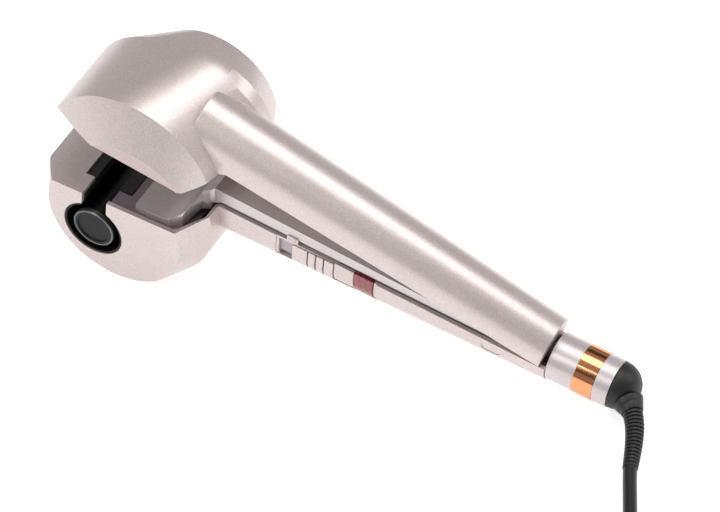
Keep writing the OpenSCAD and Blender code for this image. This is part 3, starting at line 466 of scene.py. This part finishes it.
def arcTube(name, radii, sideways):
    data = bpy.data.curves.new(name, "CURVE")
    data.dimensions = "3D"
    data.bevel_depth = 1.0 * mm
    data.bevel_resolution = 4
    data.use_fill_caps = True
    spline = data.splines.new("POLY")
    spline.points.add(reliefSet["steps"])
    for k, point in enumerate(spline.points):
        t = k / reliefSet["steps"]
        shift = Vector((sideways * (1 - reliefSet["taper"] * t) * mm, 0, 0))
        point.co = (*(onArc(t) + arcFrame(t).to_3x3() @ shift), 1)
        point.radius = radii[0] + (radii[1] - radii[0]) * t
    spline.use_smooth = True
    data.materials.append(materials["boot_rubber"])
    piece = bpy.data.objects.new(name, data)
    scene.collection.objects.link(piece)
    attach(piece, "swivel")
    return piece


arcTube("reliefCore", reliefSet["core"], 0)
arcTube("reliefSpineA", reliefSet["spine"], reliefSet["spineOut"])
arcTube("reliefSpineB", reliefSet["spine"], -reliefSet["spineOut"])
print("strain relief made")

# Printed marks of the switch's three places
markSet = {"size": 2.3, "lift": 0.03, "deep": 0.02}
low, high = [Vector(v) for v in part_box("mark_plate")]
text = bpy.data.curves.new("switchMarks", "FONT")
text.body = "0 I II"
text.size = markSet["size"] * mm
text.align_x = "CENTER"
text.align_y = "CENTER"
text.extrude = markSet["deep"] * mm
shaper = bpy.data.objects.new("markShaper", text)
scene.collection.objects.link(shaper)
bpy.context.view_layer.update()
markMesh = bpy.data.meshes.new_from_object(shaper.evaluated_get(bpy.context.evaluated_depsgraph_get()))
bpy.data.objects.remove(shaper)
centre = Vector(((low.x + high.x) / 2, low.y - markSet["lift"] * mm, (low.z + high.z) / 2))
facing = Matrix.Rotation(handleTip, 4, "Y") @ Matrix.Rotation(math.radians(90), 4, "X")
markMesh.transform(Matrix.Translation(centre) @ facing)
markMesh.materials.clear()
markMesh.materials.append(ink)
marks = bpy.data.objects.new("switchMarks", markMesh)
scene.collection.objects.link(marks)
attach(marks, "base")

# Floor and light
floorMesh = bpy.data.meshes.new("floor")
bmFloor = bmesh.new()
bmesh.ops.create_grid(bmFloor, x_segments=1, y_segments=1, size=6)
bmFloor.to_mesh(floorMesh)
bmFloor.free()
floor = bpy.data.objects.new("floor", floorMesh)
floor.location.z = -0.0004
scene.collection.objects.link(floor)
paper = bpy.data.materials.new("paperSweep")
paper.use_nodes = True
pb = paper.node_tree.nodes["Principled BSDF"]
pb.inputs["Base Color"].default_value = linearOf("#f4f4f4")
pb.inputs["Roughness"].default_value = 0.9
pb.inputs["Specular IOR Level"].default_value = 0.0
pb.inputs["Emission Color"].default_value = (1, 1, 1, 1)
pb.inputs["Emission Strength"].default_value = 0.55
floorMesh.materials.append(paper)

world = bpy.data.worlds.new("studio")
world.use_nodes = True
scene.world = world
wt = world.node_tree
back = wt.nodes["Background"]
wCoords = wt.nodes.new("ShaderNodeTexCoord")
sep = wt.nodes.new("ShaderNodeSeparateXYZ")
wt.links.new(wCoords.outputs["Generated"], sep.inputs[0])
sky = wt.nodes.new("ShaderNodeValToRGB")
wt.links.new(sep.outputs["Z"], sky.inputs["Fac"])
sky.color_ramp.elements[0].color = (0.5, 0.5, 0.5, 1)
sky.color_ramp.elements[1].color = (0.75, 0.75, 0.75, 1)
# a dark flag between the lamps, which gives the curved paint its darker bands
for at, level in ((0.42, 0.55), (0.5, 0.12), (0.68, 0.12), (0.78, 0.6)):
    sky.color_ramp.elements.new(at).color = (level, level, level, 1)
wt.links.new(sky.outputs["Color"], back.inputs["Color"])
back.inputs["Strength"].default_value = 0.7

lamps = {
    "keyLamp": {"place": (-0.6, -1.3, 1.5), "size": 0.9, "power": 15},
    "topLamp": {"place": (0.3, 0.3, 1.9), "size": 1.2, "power": 16},
    "rimLamp": {"place": (1.2, 0.8, 0.9), "size": 0.7, "power": 7},
}
for name, lamp in lamps.items():
    data = bpy.data.lights.new(name, "AREA")
    data.size = lamp["size"]
    data.energy = lamp["power"]
    obj = bpy.data.objects.new(name, data)
    obj.location = lamp["place"]
    obj.rotation_euler = (Vector((0, 0, 0.03)) - Vector(lamp["place"])).to_track_quat("-Z", "Y").to_euler()
    scene.collection.objects.link(obj)
print("light set")
